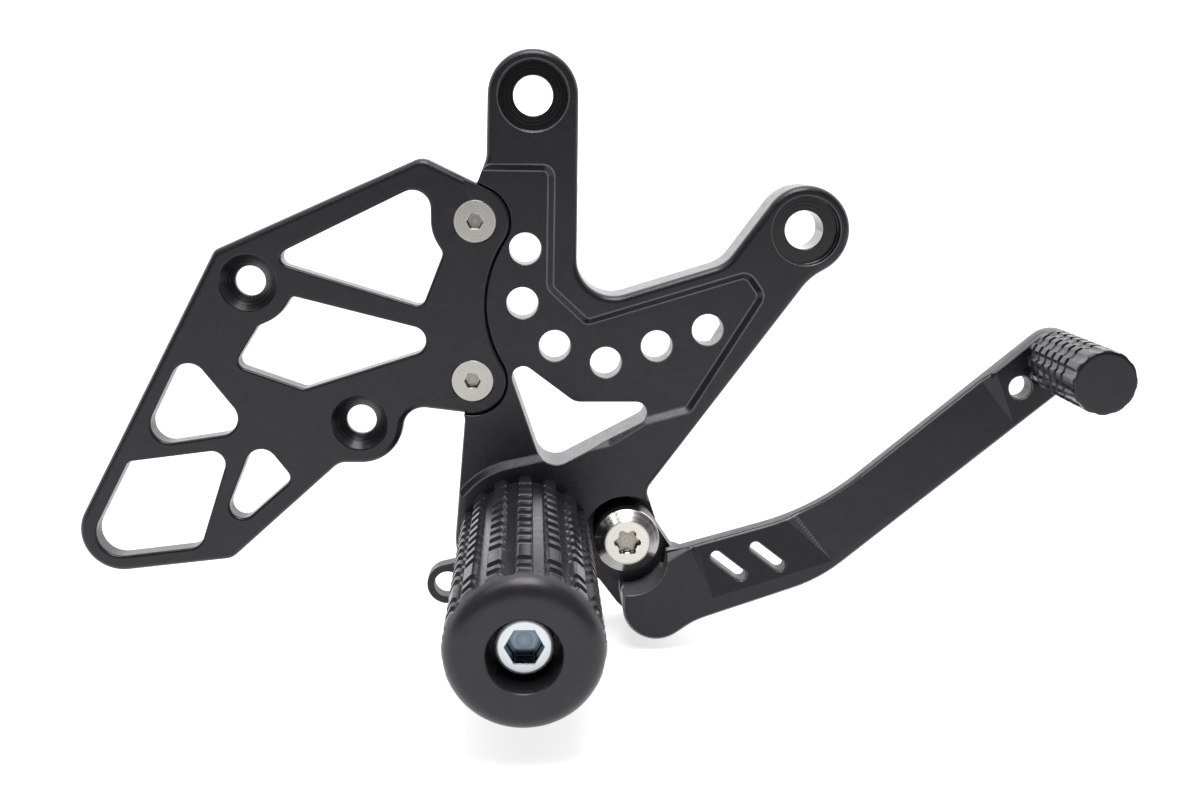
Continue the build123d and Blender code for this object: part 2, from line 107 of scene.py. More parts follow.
def photo_camera():
    lens = bpy.data.cameras.new("photo_camera")
    lens.sensor_width = SENSOR_WIDTH
    lens.lens = FOCAL_LENGTH
    lens.clip_start = NEAREST
    view = bpy.data.objects.new("photo_camera", lens)
    turn = Matrix((CAMERA_RIGHT, CAMERA_UP, CAMERA_BACK)).transposed().to_4x4()
    view.matrix_world = Matrix.Translation(CAMERA_PLACE) @ turn
    bpy.context.scene.collection.objects.link(view)
    bpy.context.scene.camera = view


photo_camera()

# Finishes
PATTERN_LOW = 0.3
PATTERN_HIGH = 0.7
CLOUD_SCALE = 160.0
SHEEN_SCALE = 420.0
SATIN_SHINE = 0.38
MILLED_SHINE = 0.25
TURNED_SHINE = 0.36
SATIN_GLEAM = (0.96, 0.93, 1.0, 1)
BLASTED_DEPTH = 0.00004
CUTTER_DEPTH = 0.00006
BLACK_RING_DEPTH = 0.00003
STEEL_RING_DEPTH = 0.00001
WAVE_RATE = 20
WAVE_UNEVEN = 1.2


class Finish:
    """A finish with short calls for the nodes of its pattern."""

    def __init__(self, name, metallic, roughness, colour):
        self.material = bpy.data.materials.new(name)
        self.material.use_nodes = True
        self.nodes = self.material.node_tree.nodes
        self.shader = self.nodes["Principled BSDF"]
        self.shader.inputs["Metallic"].default_value = metallic
        self.shader.inputs["Roughness"].default_value = roughness
        self.shader.inputs["Base Color"].default_value = (*colour, 1)

    def add(self, kind, **sockets):
        node = self.nodes.new(kind)
        for name, value in sockets.items():
            socket = node.inputs[name.replace("_", " ")]
            if isinstance(value, bpy.types.NodeSocket):
                self.join(value, socket)
            else:
                socket.default_value = value
        return node

    def join(self, source, socket):
        self.material.node_tree.links.new(source, socket)

    def place(self, centre=(0, 0, 0), scale=(1, 1, 1), turn=(0, 0, 0)):
        """Object coordinates about a centre."""
        spot = self.add("ShaderNodeTexCoord").outputs["Object"]
        moved = self.add("ShaderNodeVectorMath", Vector=spot)
        moved.operation = "SUBTRACT"
        moved.inputs[1].default_value = centre
        return self.add("ShaderNodeMapping", Vector=moved.outputs[0], Scale=scale, Rotation=turn).outputs[0]

    def noise(self, where, scale, detail=2.0):
        return self.add("ShaderNodeTexNoise", Vector=where, Scale=scale, Detail=detail).outputs["Fac"]

    def rings(self, centre, pitch):
        """Rings of uneven strength about an axis along Y."""
        where = self.place((centre[0] * MM, 0, centre[1] * MM), (1, 0, 1))
        reach = self.add("ShaderNodeVectorMath", Vector=where)
        reach.operation = "LENGTH"
        lines = self.add("ShaderNodeTexNoise", Scale=1 / (pitch * MM), Detail=3.0)
        lines.noise_dimensions = "1D"
        self.join(reach.outputs["Value"], lines.inputs["W"])
        return lines.outputs["Fac"]

    def spread(self, value, low, high, start=PATTERN_LOW, end=PATTERN_HIGH):
        """A pattern's value moved to a range."""
        node = self.add("ShaderNodeMapRange", Value=value)
        for name, number in (("From Min", start), ("From Max", end), ("To Min", low), ("To Max", high)):
            node.inputs[name].default_value = number
        return node.outputs[0]

    def tint(self, value, dark, light):
        """Colour that runs from dark to light with a pattern."""
        ramp = self.add("ShaderNodeValToRGB", Fac=value)
        ends = ((PATTERN_LOW, dark), (PATTERN_HIGH, light))
        for element, (position, colour) in zip(ramp.color_ramp.elements, ends):
            element.position = position
            element.color = (*colour, 1)
        self.join(ramp.outputs[0], self.shader.inputs["Base Color"])

    def relief(self, value, height, strength):
        bump = self.add("ShaderNodeBump", Height=value, Distance=height, Strength=strength)
        self.join(bump.outputs[0], self.shader.inputs["Normal"])

    def rough(self, value, low, high):
        self.join(self.spread(value, low, high), self.shader.inputs["Roughness"])


def satin_black(name, dark, light, smooth, dull, grain, shine=SATIN_SHINE):
    """Blasted and anodised aluminium."""
    skin = Finish(name, 0.0, dull, dark)
    skin.shader.inputs["Specular IOR Level"].default_value = shine
    skin.shader.inputs["Specular Tint"].default_value = SATIN_GLEAM
    where = skin.place()
    skin.tint(skin.noise(where, CLOUD_SCALE, 3.0), dark, light)
    skin.rough(skin.noise(where, SHEEN_SCALE, 4.0), smooth, dull)
    skin.relief(skin.noise(where, grain), BLASTED_DEPTH, 0.35)
    return skin.material


def milled_marks_and_painted_light(name, start, end, pitch, width):
    """Anodised aluminium with a row of short cutter marks between two spots, painted lighter than the lever's
    black all over as painted light, the marks lightest.
    """
    skin = Finish(name, 0.0, 0.34, (0.012, 0.0123, 0.014))
    run, rise = end[0] - start[0], end[1] - start[1]
    middle = ((start[0] + end[0]) / 2 * MM, 0, (start[1] + end[1]) / 2 * MM)
    where = skin.place(middle, turn=(0, atan2(rise, run), 0))
    wave_scale = 2 * pi / (WAVE_RATE * pitch * MM)
    wave = skin.add("ShaderNodeTexWave", Vector=where, Scale=wave_scale, Distortion=WAVE_UNEVEN)
    across = skin.add("ShaderNodeSeparateXYZ", Vector=where).outputs["Z"]
    away = skin.add("ShaderNodeMath", Value=across)
    away.operation = "ABSOLUTE"
    near = skin.spread(away.outputs[0], 1.0, 0.0, 0.5 * width * MM, width * MM)
    marks = skin.add("ShaderNodeMath", Value=near)
    marks.operation = "MULTIPLY"
    skin.join(wave.outputs["Fac"], marks.inputs[1])
    # Painted light: the tilted step is lighter than the lever's black, and its cutter marks lighter still
    skin.tint(marks.outputs[0], (0.032, 0.0335, 0.042), (0.085, 0.088, 0.102))
    skin.rough(skin.noise(where, SHEEN_SCALE, 4.0), 0.30, 0.38)
    skin.relief(marks.outputs[0], CUTTER_DEPTH, 0.4)
    return skin.material


def turned_black(name, centre, pitch, smooth, dull):
    """Anodised aluminium with fine rings from turning about an axis along Y."""
    skin = Finish(name, 0.0, dull, (0.006, 0.006, 0.0066))
    skin.shader.inputs["Specular IOR Level"].default_value = TURNED_SHINE
    lines = skin.rings(centre, pitch)
    skin.tint(lines, (0.004, 0.004, 0.0045), (0.008, 0.008, 0.009))
    skin.rough(lines, smooth, dull)
    skin.relief(lines, BLACK_RING_DEPTH, 0.3)
    return skin.material


def turned_metal(name, centre, dark, light, smooth, dull, pitch):
    """Metal with fine rings from turning about an axis along Y."""
    skin = Finish(name, 1.0, dull, light)
    lines = skin.rings(centre, pitch)
    skin.tint(lines, dark, light)
    skin.rough(lines, smooth, dull)
    skin.relief(lines, STEEL_RING_DEPTH, 0.2)
    return skin.material


# Black finishes: darkest and lightest colour, smoothest and dullest sheen, fineness of the grain
bracket_black = satin_black(
    "bracket_black", (0.0065, 0.0064, 0.0082), (0.009, 0.0089, 0.011), 0.25, 0.32, 5200.0
)
guard_black = satin_black(
    "guard_black", (0.0065, 0.0064, 0.0080), (0.009, 0.0089, 0.0108), 0.25, 0.32, 5200.0
)
lever_black = satin_black(
    "lever_black", (0.006, 0.006, 0.008), (0.0085, 0.0085, 0.0108), 0.23, 0.30, 4200.0
)
channel_black = satin_black(
    "channel_black", (0.005, 0.005, 0.0068), (0.007, 0.007, 0.009), 0.23, 0.30, 4200.0, MILLED_SHINE
)
# Painted light: a lighter grey on the lever pocket's wall, which lies in the bush's shade
pocket_painted_light = satin_black(
    "pocket_painted_light", (0.07, 0.07, 0.072), (0.09, 0.09, 0.092), 0.30, 0.38, 4200.0
)
# Painted light: a light grey on the lever's downward chamfers, standing in for the white floor's light on them
underside_painted_light = satin_black(
    "underside_painted_light", (0.14, 0.14, 0.145), (0.17, 0.17, 0.175), 0.30, 0.38, 4200.0
)
# Painted highlight: a lighter grey on the bracket's rounded edges, standing in for the light lines along them
edge_painted_highlight = satin_black(
    "edge_painted_highlight", (0.068, 0.068, 0.074), (0.092, 0.092, 0.099), 0.24, 0.32, 3200.0
)
# Painted highlight: a lighter grey line along the lever's chamfers and the inner half of its rounds
chamfer_painted_highlight = satin_black(
    "chamfer_painted_highlight", (0.085, 0.085, 0.092), (0.115, 0.115, 0.123), 0.24, 0.32, 3200.0
)
side_black = satin_black(
    "side_black", (0.010, 0.010, 0.0115), (0.014, 0.014, 0.0155), 0.37, 0.45, 3200.0
)
peg_black = satin_black(
    "peg_black", (0.012, 0.0119, 0.0130), (0.017, 0.0169, 0.0182), 0.26, 0.33, 3600.0
)
toe_black = satin_black(
    "toe_black", (0.006, 0.006, 0.0072), (0.010, 0.010, 0.0112), 0.25, 0.33, 3600.0
)
step_marks_and_painted_light = milled_marks_and_painted_light("step_marks_and_painted_light", LEVER_STEP_TOP, LEVER_STEP_FOOT, pitch=1.0, width=1.3)
seat_blacks = [
    turned_black(f"seat_black_{k}", spot, pitch=0.5, smooth=0.10, dull=0.18)
    for k, spot in enumerate(FRAME_HOLES)
]
sink_blacks = [
    turned_black(f"sink_black_{k}", spot, pitch=0.4, smooth=0.20, dull=0.28)
    for k, spot in enumerate(CYLINDER_HOLES)
]

# Metal finishes: axis, darkest and lightest colour, smoothest and dullest sheen, pitch of the rings
stainless = [
    turned_metal(f"stainless_{k}", spot, (0.36, 0.35, 0.33), (0.48, 0.465, 0.435), 0.22, 0.32, 0.35)
    for k, spot in enumerate(GUARD_SCREWS)
]
# Painted shade: darker steel inside the guard screws' hex sockets
socket_painted_shade_steel = [
    turned_metal(f"socket_painted_shade_steel_{k}", spot, (0.10, 0.10, 0.09), (0.34, 0.33, 0.31), 0.15, 0.30, 1.1)
    for k, spot in enumerate(GUARD_SCREWS)
]
pivot_steel = turned_metal(
    "pivot_steel", PIVOT, (0.42, 0.41, 0.40), (0.50, 0.49, 0.475), 0.19, 0.25, 0.6
)
pivot_screw_steel = turned_metal(
    "pivot_screw_steel", PIVOT, (0.58, 0.56, 0.52), (0.70, 0.68, 0.63), 0.28, 0.38, 0.4
)
# Painted shade: darker steel inside the pivot screw's six-lobe socket
lobe_painted_shade_steel = turned_metal(
    "lobe_painted_shade_steel", PIVOT, (0.16, 0.15, 0.13), (0.42, 0.39, 0.34), 0.20, 0.40, 0.9
)
peg_zinc = turned_metal(
    "peg_zinc", PEG_CENTRE, (0.54, 0.57, 0.60), (0.66, 0.69, 0.72), 0.32, 0.42, 0.5
)
# Painted highlight: lighter, duller zinc on the rim of the peg bolt's head
rim_painted_highlight_zinc = turned_metal(
    "rim_painted_highlight_zinc", PEG_CENTRE, (0.70, 0.73, 0.76), (0.80, 0.83, 0.86), 0.50, 0.62, 0.5
)
# Painted shade: dark blue-grey zinc inside the peg bolt's hex socket
socket_painted_shade_zinc = turned_metal(
    "socket_painted_shade_zinc", PEG_CENTRE, (0.05, 0.065, 0.085), (0.17, 0.21, 0.26), 0.12, 0.24, 1.6
)
toe_zinc = turned_metal(
    "toe_zinc", TOE_CENTRE, (0.60, 0.63, 0.66), (0.74, 0.77, 0.80), 0.18, 0.28, 0.5
)
liner_bronze = turned_metal(
    "liner_bronze", PIVOT, (0.34, 0.22, 0.09), (0.48, 0.32, 0.14), 0.30, 0.42, 0.3
)

# Rounding of edges, in millimetres and degrees
WELD = 0.02
SLIVER = 0.0001
ROUND_STEPS = 2
SHARP_TURN = 24.0
LEVER_SHARP_TURN = 50.0
FRONT_TURN = 1.0
FRONT_FACING = -0.8
PLATE_ROUND = 0.25
LEVER_ROUND = 0.6
SCREW_ROUND = 0.18
BOLT_ROUND = 0.25
BUSH_ROUND = 0.12


def shown(name, mesh, body, slot, *nodes):
    """Puts a finished mesh into the scene in place of its solids."""
    piece = bpy.data.objects.new(name, mesh)
    bpy.context.scene.collection.objects.link(piece)
    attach(piece, body)
    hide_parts(*nodes)


def plain_mesh(holder):
    """What a holder's modifiers make, as a mesh of its own."""
    made = bpy.data.meshes.new_from_object(holder.evaluated_get(bpy.context.evaluated_depsgraph_get()))
    bpy.data.objects.remove(holder)
    return made


def worked(mesh, modifiers):
    """Mesh with modifiers turned into plain faces."""
    holder = bpy.data.objects.new("holder", mesh)
    bpy.context.scene.collection.objects.link(holder)
    for kind, settings in modifiers:
        step = holder.modifiers.new(kind.lower(), kind)
        for key, value in settings.items():
            setattr(step, key, value)
    return plain_mesh(holder)


def softened(node, edge, share=lambda spot: 1.0, sharp=SHARP_TURN, rounds=-1):
    """Copy of a solid's mesh with its sharp edges rounded, by a share of the full width at each spot."""
    shape = bmesh.new()
    shape.from_mesh(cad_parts[node].data)
    bmesh.ops.remove_doubles(shape, verts=shape.verts, dist=WELD * MM)
    bmesh.ops.dissolve_degenerate(shape, edges=shape.edges, dist=SLIVER * MM)
    weight = shape.edges.layers.float.new("bevel_weight_edge")
    for line in shape.edges:
        turn = line.calc_face_angle(pi)
        front = all(face.normal.y < FRONT_FACING for face in line.link_faces)
        line.smooth = turn < radians(FRONT_TURN if front else sharp)
        middle = (line.verts[0].co + line.verts[1].co) / 2 / MM
        if line.is_manifold and turn > radians(sharp):
            line[weight] = share(middle)
    for face in shape.faces:
        face.smooth = True
        face.material_index = 0
    mesh = bpy.data.meshes.new(node)
    shape.to_mesh(mesh)
    shape.free()
    for _ in range(rounds + 1):
        mesh.materials.append(None)
    rounding = {
        "width": edge * MM,
        "segments": ROUND_STEPS,
        "limit_method": "WEIGHT",
        "use_clamp_overlap": False,
        "loop_slide": False,
        "material": rounds,
    }
    return worked(mesh, [("BEVEL", rounding), ("WEIGHTED_NORMAL", {"keep_sharp": True, "weight": 90})])


def dressed(mesh, *materials):
    """Puts materials into a mesh's slots and keeps which face wears which slot."""
    for slot, material in enumerate(materials):
        if slot < len(mesh.materials):
            mesh.materials[slot] = material
        else:
            mesh.materials.append(material)
    return mesh


def painted(mesh, spots, reach, low, high, first=1, own=True):
    """Gives the faces round each spot, between two heights, its own material or one for all."""
    for face in mesh.polygons:
        at = face.center / MM
        for index, (x, z) in enumerate(spots):
            if hypot(at.x - x, at.z - z) < reach and low < -at.y < high:
                face.material_index = index + first if own else first


# Bracket and heel guard
PAST_FRONT = 15.1
SEAT_REACH = 9.6
SEAT_LOW = 0.5
GUARD_SEAT_REACH = 14.0
SINK_REACH = 8.5
SINK_LOW = 9.75
SINK_HIGH = 14.0
GUARD_JOINT = -19.0
GUARD_JOINT_REACH = 2.5


def guard_share(spot):
    """None where the heel guard's rounded rim meets the part let into the bracket."""
    return 0.0 if abs(spot.x - GUARD_JOINT) < GUARD_JOINT_REACH else 1.0


# The bracket's new rounds take slot one, the painted edge highlight
bracket_mesh = dressed(softened("bracket", PLATE_ROUND, rounds=1), bracket_black, edge_painted_highlight, *seat_blacks)
painted(bracket_mesh, FRAME_HOLES, SEAT_REACH, SEAT_LOW, PAST_FRONT, first=2)
# Round the guard's seat the faces go back to plain black, without the painted edge highlight
painted(bracket_mesh, GUARD_SEAT, GUARD_SEAT_REACH, 0.0, PAST_FRONT, first=0, own=False)
shown("bracket_body", bracket_mesh, "root", "black_anodised", "bracket")
guard_mesh = dressed(softened("heel_guard", PLATE_ROUND, guard_share), guard_black, *sink_blacks)
painted(guard_mesh, CYLINDER_HOLES, SINK_REACH, SINK_LOW, SINK_HIGH)
shown("guard_plate", guard_mesh, "root", "black_anodised", "heel_guard")

# Brake lever, its finishes told apart by how far a face looks outboard and up; the chamfer line, downward
# chamfers, step and pocket wall are painted light
LEVER_FINISHES = {
    "face": lever_black,
    "chamfer": chamfer_painted_highlight,
    "step": step_marks_and_painted_light,
    "side": side_black,
    "channel": channel_black,
    "pocket": pocket_painted_light,
    "underside": underside_painted_light,
}
FACE, CHAMFER, STEP, SIDE, CHANNEL, POCKET, UNDERSIDE = range(len(LEVER_FINISHES))
ROUND_OUTBOARD = 0.6
CHAMFER_OUTBOARD = (0.5, 0.85)
STEP_OUTBOARD = (0.85, 0.97)
SIDE_OUTBOARD = 0.3
FLAT_OUTBOARD = 0.99
MILLED_UP = (0.025, 0.06)
UNDERSIDE_UP = -0.3
OPENING_SHARE = 0.6


def lever_share(spot):
    """None behind the arm, where rounds run into each other, and less round the lever's openings."""
    if -spot.y < LEVER_BACK:
        return 0.0
    if any(hypot(spot.x - x, spot.z - z) < reach for x, z, reach in LEVER_OPENINGS):
        return OPENING_SHARE
    return 1.0


def lever_marks(mesh):
    """Gives the lever's chamfers a painted highlight line, its downward chamfers, step and pocket wall a lighter
    painted light, and its sides, milled face and toe flat their own finishes.
    """
    pocket_x, pocket_z, pocket_reach = LEVER_POCKET
    for face in mesh.polygons:
        at = face.center / MM
        outboard, up = -face.normal.y, face.normal.z
        in_pocket = hypot(at.x - pocket_x, at.z - pocket_z) < pocket_reach and -at.y > LEVER_POCKET_FLOOR
        milled = MILLED_UP[0] < up < MILLED_UP[1]
        toe_flat = at.x > TOE_FLAT and up < MILLED_UP[0]
        on_step = LEVER_STEP_SPAN[0] < at.x < LEVER_STEP_SPAN[1]
        # The outer half of each round goes back to the face's black, so the painted highlight stays a thin line
        # by the face
        if face.material_index == CHAMFER and outboard < ROUND_OUTBOARD:
            face.material_index = FACE
        elif CHAMFER_OUTBOARD[0] < outboard < CHAMFER_OUTBOARD[1]:
            # Chamfers facing down get the painted-light grey; the others get the painted highlight line
            face.material_index = UNDERSIDE if up < UNDERSIDE_UP else CHAMFER
        elif abs(outboard) < SIDE_OUTBOARD:
            # Walls inside the lever's pocket get the lighter grey of painted light
            face.material_index = POCKET if in_pocket else SIDE
        elif outboard > FLAT_OUTBOARD and (milled or toe_flat):
            face.material_index = CHANNEL
        elif on_step and STEP_OUTBOARD[0] < outboard < STEP_OUTBOARD[1]:
            # The tilted step wears the lighter finish of painted light with cutter marks
            face.material_index = STEP


lever_mesh = softened("brake_lever", LEVER_ROUND, lever_share, sharp=LEVER_SHARP_TURN, rounds=1)
lever_marks(dressed(lever_mesh, *LEVER_FINISHES.values()))
shown("lever_body", lever_mesh, "pedal", "black_anodised", "brake_lever")

# Screws, bolt and bush
SCREW_REACH = 8.0
SCREW_HIGH = 20.0
SOCKET_LIP = 0.3
HEX_REACH = 2.7
HEX_DEPTH = 3.5
LOBE_REACH = 4.2
LOBE_DEPTH = 2.2
BOLT_RIM_REACH = 7.5
BOLT_RIM_LOW = 95.5
BOLT_FACE_REACH = 6.2
BOLT_SOCKET_REACH = 4.5
BOLT_SOCKET_LOW = 90.0
BOLT_SOCKET_HIGH = 96.7
BOLT_HIGH = 97.5

screw_mesh = dressed(softened("heel_guard_screws", SCREW_ROUND), *stainless, *socket_painted_shade_steel)
screw_top = -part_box("heel_guard_screws")[0].y / MM
painted(screw_mesh, GUARD_SCREWS, SCREW_REACH, 0.0, SCREW_HIGH, first=0)
# Hex sockets get the darker steel of painted shade
painted(screw_mesh, GUARD_SCREWS, HEX_REACH, screw_top - HEX_DEPTH, screw_top - SOCKET_LIP, first=2)
shown("guard_screws", screw_mesh, "root", "stainless", "heel_guard_screws")
bolt_mesh = dressed(softened("footpeg_bolt", BOLT_ROUND), peg_zinc, socket_painted_shade_zinc, rim_painted_highlight_zinc)
# The bolt head's rim gets the lighter zinc of the painted highlight, then its face and socket their own
painted(bolt_mesh, (PEG_CENTRE,), BOLT_RIM_REACH, BOLT_RIM_LOW, BOLT_HIGH, first=2)
painted(bolt_mesh, (PEG_CENTRE,), BOLT_FACE_REACH, BOLT_SOCKET_LOW, BOLT_HIGH, first=0)
# The bolt's socket gets the dark zinc of painted shade
painted(bolt_mesh, (PEG_CENTRE,), BOLT_SOCKET_REACH, BOLT_SOCKET_LOW, BOLT_SOCKET_HIGH)
shown("peg_bolt", bolt_mesh, "root", "zinc_plated", "footpeg_bolt")
bush_mesh = dressed(softened("pivot_bush", BUSH_ROUND), pivot_steel)
shown("bush", bush_mesh, "root", "stainless", "pivot_bush")
socket_mesh = dressed(softened("pivot_screw", SCREW_ROUND), pivot_screw_steel, lobe_painted_shade_steel)
pivot_top = -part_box("pivot_screw")[0].y / MM
# The six-lobe socket gets the darker steel of painted shade
painted(socket_mesh, (PIVOT,), LOBE_REACH, pivot_top - LOBE_DEPTH, pivot_top - SOCKET_LIP)
shown("bush_screw", socket_mesh, "root", "stainless", "pivot_screw")

# Ribbed pegs
PEG_SIZES = {
    "Radius": PEG_RADIUS,
    "Length": PEG_LENGTH,
    "Ribs": 16,
    "Flute Width": 3.5,
    "Flute Depth": 1.7,
    "Ring Count": 13,
    "Plain Ring": 10,
    "Ring Pitch": 6.2,
    "Ring Width": 3.0,
    "Ring Depth": 1.2,
    "First Ring": 4.1,
    "End Round": 5.5,
    "Columns": 256,
    "Rows": 352,
    "Flute Wall": 0.6,
    "Flute End": 85.5,
    "Run Out": 5.0,
    "Ring Wall": 1.0,
}
TOE_SIZES = {
    "Radius": TOE_RADIUS,
    "Length": TOE_LENGTH,
    "Ribs": 12,
    "Flute Width": 2.0,
    "Flute Depth": 0.6,
    "Ring Count": 6,
    "Plain Ring": 99,
    "Ring Pitch": 4.5,
    "Ring Width": 1.4,
    "Ring Depth": 0.9,
    "First Ring": 2.4,
    "End Round": 0.8,
    "Columns": 192,
    "Rows": 136,
    "Flute Wall": 0.6,
    "Flute End": 38.0,
    "Run Out": 8.0,
    "Ring Wall": 0.3,
}
COUNTS = ("Ribs", "Ring Count", "Plain Ring", "Columns", "Rows")
PEG_WELD = 0.001
PEG_RIM_REACH = 0.01
PEG_SHARP_TURN = 35


def ribbed_skin():
    """Node tree that wraps a grid round a peg and sinks lengthwise flutes and ring grooves into it."""
    tree = bpy.data.node_groups.new("ribbed_skin", "GeometryNodeTree")
    for name in PEG_SIZES:
        kind = "NodeSocketInt" if name in COUNTS else "NodeSocketFloat"
        tree.interface.new_socket(name, in_out="INPUT", socket_type=kind)
    tree.interface.new_socket("Finish", in_out="INPUT", socket_type="NodeSocketMaterial")
    tree.interface.new_socket("Geometry", in_out="OUTPUT", socket_type="NodeSocketGeometry")
    size = tree.nodes.new("NodeGroupInput").outputs

    def node(kind, *values, operation=None):
        made = tree.nodes.new(kind)
        if operation:
            made.operation = operation
        for socket, value in zip(made.inputs, values):
            if isinstance(value, bpy.types.NodeSocket):
                tree.links.new(value, socket)
            elif value is not None:
                socket.default_value = value
        return made

    def calc(operation, *values):
        return node("ShaderNodeMath", *values, operation=operation).outputs[0]

    def share(value):
        """A value held between nought and one."""
        return calc("MINIMUM", calc("MAXIMUM", value, 0.0), 1.0)

    def groove(away, width, wall):
        """One inside a groove, nought outside it, with a sloping wall between."""
        half = calc("MULTIPLY", width, 0.5)
        depth = calc("DIVIDE", calc("SUBTRACT", half, away), wall)
        return share(calc("ADD", depth, 0.5))

    # Place of each point of the grid round and along the peg
    columns = calc("ADD", size["Columns"], 1)
    rows = calc("ADD", size["Rows"], 1)
    grid = node("GeometryNodeMeshGrid", 1.0, 1.0, columns, rows)
    spot = node("ShaderNodeSeparateXYZ", node("GeometryNodeInputPosition").outputs[0])
    round_share = calc("ADD", spot.outputs["X"], 0.5)
    height = calc("MULTIPLY", calc("ADD", spot.outputs["Y"], 0.5), size["Length"])
    angle = calc("MULTIPLY", round_share, 2 * pi)

    # Flutes along the peg, which run out before its end
    rib = calc("ABSOLUTE", calc("SUBTRACT", calc("FRACT", calc("MULTIPLY", round_share, size["Ribs"])), 0.5))
    rib_pitch = calc("DIVIDE", calc("MULTIPLY", size["Radius"], 2 * pi), size["Ribs"])
    flute = groove(calc("MULTIPLY", rib, rib_pitch), size["Flute Width"], size["Flute Wall"])
    ahead = calc("DIVIDE", calc("SUBTRACT", size["Flute End"], height), size["Run Out"])
    flute = calc("MULTIPLY", flute, share(ahead))

    # Ring grooves, with one ring left plain
    turn = calc("DIVIDE", calc("SUBTRACT", height, size["First Ring"]), size["Ring Pitch"])
    ring = calc("FLOOR", turn)
    along = calc("MULTIPLY", calc("FRACT", turn), size["Ring Pitch"])
    from_ring = calc("ABSOLUTE", calc("SUBTRACT", along, calc("MULTIPLY", size["Ring Width"], 0.5)))
    cut = groove(from_ring, size["Ring Width"], size["Ring Wall"])
    cut = calc("MULTIPLY", cut, calc("GREATER_THAN", ring, -0.5))
    cut = calc("MULTIPLY", cut, calc("LESS_THAN", ring, calc("SUBTRACT", size["Ring Count"], 0.5)))
    plain = calc("COMPARE", ring, size["Plain Ring"], 0.1)
    cut = calc("MULTIPLY", cut, calc("SUBTRACT", 1.0, plain))

    # Radius with the grooves sunk and the outer end rounded
    flute_depth = calc("MULTIPLY", flute, size["Flute Depth"])
    ring_depth = calc("MULTIPLY", cut, size["Ring Depth"])
    sunk = calc("MAXIMUM", flute_depth, ring_depth)
    past = calc("MAXIMUM", calc("SUBTRACT", height, calc("SUBTRACT", size["Length"], size["End Round"])), 0.0)
    left = calc("SUBTRACT", calc("POWER", size["End Round"], 2.0), calc("POWER", past, 2.0))
    arch = calc("SQRT", calc("MAXIMUM", left, 0.0))
    dome = calc("ADD", calc("SUBTRACT", size["Radius"], size["End Round"]), arch)
    reach = calc("MINIMUM", calc("SUBTRACT", size["Radius"], sunk), dome)
    across = calc("MULTIPLY", reach, calc("SINE", angle))
    upward = calc("MULTIPLY", reach, calc("COSINE", angle))
    outboard = calc("MULTIPLY", height, -1.0)
    wrapped = node("ShaderNodeCombineXYZ", across, outboard, upward).outputs[0]
    skin = node("GeometryNodeSetPosition", grid.outputs["Mesh"], None, wrapped)
    real = node("GeometryNodeRealizeInstances", skin.outputs[0])
    done = tree.nodes.new("GeometryNodeSetMaterial")
    tree.links.new(real.outputs[0], done.inputs["Geometry"])
    tree.links.new(size["Finish"], done.inputs["Material"])
    tree.links.new(done.outputs[0], tree.nodes.new("NodeGroupOutput").inputs[0])
    return tree


def peg(tree, sizes, finish, centre, base, mouth, foot):
    """Ribbed peg closed by lines of radius and height at its outer end and at its foot."""
    holder = bpy.data.objects.new("holder", bpy.data.meshes.new("holder"))
    bpy.context.scene.collection.objects.link(holder)
    step = holder.modifiers.new("ribbed_skin", "NODES")
    step.node_group = tree
    for socket in tree.interface.items_tree:
        if socket.in_out == "INPUT":
            step[socket.identifier] = finish if socket.name == "Finish" else sizes[socket.name]
    shape = bmesh.new()
    shape.from_mesh(plain_mesh(holder))
    bmesh.ops.remove_doubles(shape, verts=shape.verts, dist=PEG_WELD)
    for start, line in ((-sizes["Length"], mouth), (0.0, foot)):
        rim = [e for e in shape.edges if e.is_boundary and abs(e.verts[0].co.y - start) < PEG_RIM_REACH]
        for radius, height in line:
            grown = bmesh.ops.extrude_edge_only(shape, edges=rim)["geom"]
            rim = [g for g in grown if isinstance(g, bmesh.types.BMEdge) and g.is_boundary]
            for spot in {v for e in rim for v in e.verts}:
                flat = Vector((spot.co.x, 0, spot.co.z)).normalized() * radius
                spot.co = Vector((flat.x, -height, flat.z))
    bmesh.ops.remove_doubles(shape, verts=shape.verts, dist=PEG_WELD)
    bmesh.ops.recalc_face_normals(shape, faces=shape.faces)
    for face in shape.faces:
        face.smooth = True
    shape.transform(Matrix.Scale(MM, 4) @ Matrix.Translation((centre[0], -base, centre[1])))
    mesh = bpy.data.meshes.new("peg")
    shape.to_mesh(mesh)
    shape.free()
    mesh.set_sharp_from_angle(angle=radians(PEG_SHARP_TURN))
    return dressed(mesh, finish)


skin_tree = ribbed_skin()
peg_mouth = (
    (PEG_END_RING, PEG_LENGTH),
    (PEG_SINK + PEG_SINK_LIP, PEG_LENGTH),
    (PEG_SINK, PEG_LENGTH - PEG_SINK_LIP),
    (PEG_SINK, PEG_SINK_FLOOR),
    (PEG_BORE, PEG_SINK_FLOOR),
    (PEG_BORE, 0.0),
)
peg_foot = ((PEG_BORE, 0.0),)
peg_mesh = peg(skin_tree, PEG_SIZES, peg_black, PEG_CENTRE, PEG_BASE, peg_mouth, peg_foot)
shown("footpeg_ribs", peg_mesh, "root", "black_anodised", "footpeg")
toe_mouth = ((TOE_END_RING, TOE_LENGTH), (0.0, TOE_LENGTH))
toe_foot = ((TOE_BORE, 0.0), (TOE_BORE, TOE_BORE_DEPTH), (0.0, TOE_BORE_DEPTH))
toe_mesh = peg(skin_tree, TOE_SIZES, toe_black, TOE_CENTRE, TOE_BASE, toe_mouth, toe_foot)
shown("toe_peg_ribs", toe_mesh, "pedal", "black_anodised", "toe_peg")

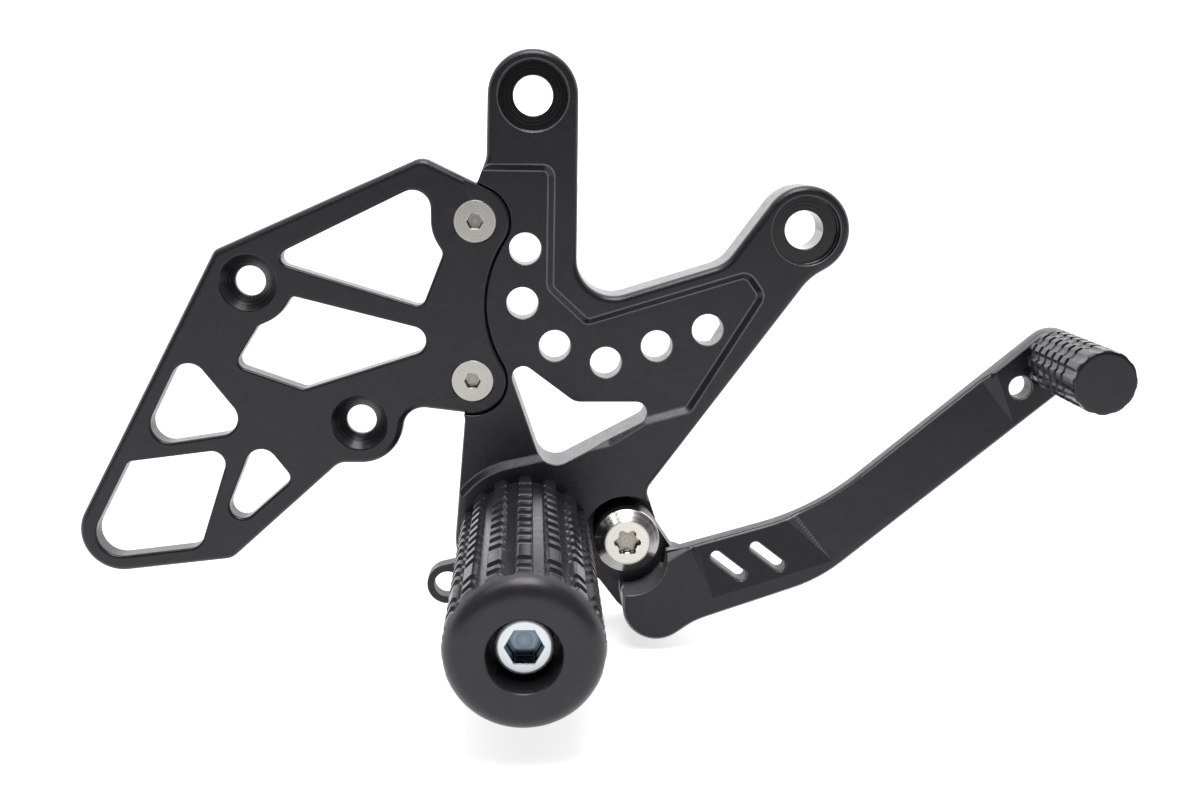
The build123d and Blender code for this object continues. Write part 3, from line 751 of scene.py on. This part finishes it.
# Pieces shown as their solids are
for node, finish in (
    ("front_pivot_liner", liner_bronze),
    ("rear_pivot_liner", liner_bronze),
    ("toe_peg_screw", toe_zinc),
):
    dressed(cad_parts[node].data, finish)

# Floor and light, in metres
FLOOR_SIZE = 6.0
FLOOR_DROP = 0.0005
FLOOR_GLOW = 0.7
OVERHEAD = 0.9
OVERHEAD_SPAN = (0.70, 0.97)
BACKDROP = 2.0
BACKDROP_SPAN = (-0.30, 0.25)
BEHIND_CAMERA = 0.18
LIGHT_AIM = (0.02, -0.03, -0.1)


def pale_floor():
    low = cad_box[0].z - FLOOR_DROP
    bpy.ops.mesh.primitive_plane_add(size=FLOOR_SIZE, location=(0, 0, low))
    floor = bpy.context.object
    floor.name = "floor"
    white = Finish("floor_white", 0.0, 0.9, (0.4, 0.4, 0.4))
    white.tint(white.noise(white.place(), 3.0), (0.38, 0.38, 0.38), (0.42, 0.42, 0.42))
    white.shader.inputs["Emission Color"].default_value = (1, 1, 1, 1)
    white.shader.inputs["Emission Strength"].default_value = FLOOR_GLOW
    floor.data.materials.append(white.material)
    floor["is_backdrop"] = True


def soft_light(name, place, size, power):
    """Rectangular lamp that looks at the middle of the part."""
    lamp = bpy.data.lights.new(name, "AREA")
    lamp.shape = "RECTANGLE"
    lamp.size, lamp.size_y = size
    lamp.energy = power
    holder = bpy.data.objects.new(name, lamp)
    holder.location = place
    holder.rotation_euler = (Vector(LIGHT_AIM) - Vector(place)).to_track_quat("-Z", "Y").to_euler()
    bpy.context.scene.collection.objects.link(holder)


def white_surround():
    """White studio: bright overhead, white behind the object and dimmer behind the camera."""
    world = bpy.data.worlds.new("white_surround")
    world.use_nodes = True
    nodes, links = world.node_tree.nodes, world.node_tree.links
    towards = nodes.new("ShaderNodeSeparateXYZ")
    links.new(nodes.new("ShaderNodeTexCoord").outputs["Generated"], towards.inputs[0])
    total = nodes.new("ShaderNodeMath")
    sides = (
        ("Z", OVERHEAD_SPAN, 0.0, OVERHEAD),
        ("Y", BACKDROP_SPAN, BEHIND_CAMERA, BACKDROP),
    )
    for term, (axis, (start, end), low, high) in zip(total.inputs, sides):
        part = nodes.new("ShaderNodeMapRange")
        part.interpolation_type = "SMOOTHSTEP"
        links.new(towards.outputs[axis], part.inputs["Value"])
        for name, value in (("From Min", start), ("From Max", end), ("To Min", low), ("To Max", high)):
            part.inputs[name].default_value = value
        links.new(part.outputs[0], term)
    links.new(total.outputs[0], nodes["Background"].inputs["Strength"])
    nodes["Background"].inputs["Color"].default_value = (1, 1, 1, 1)
    bpy.context.scene.world = world


pale_floor()
white_surround()
soft_light("top_light", place=(0.02, -0.30, 0.62), size=(0.36, 0.42), power=5.0)
soft_light("side_strip", place=(-0.40, -0.38, 0.60), size=(0.05, 0.40), power=0.6)
bpy.context.scene.view_settings.view_transform = "Standard"

boxes = {name: [list(corner) for corner in box] for name, box in (("cad", cad_box), ("visual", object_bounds()))}
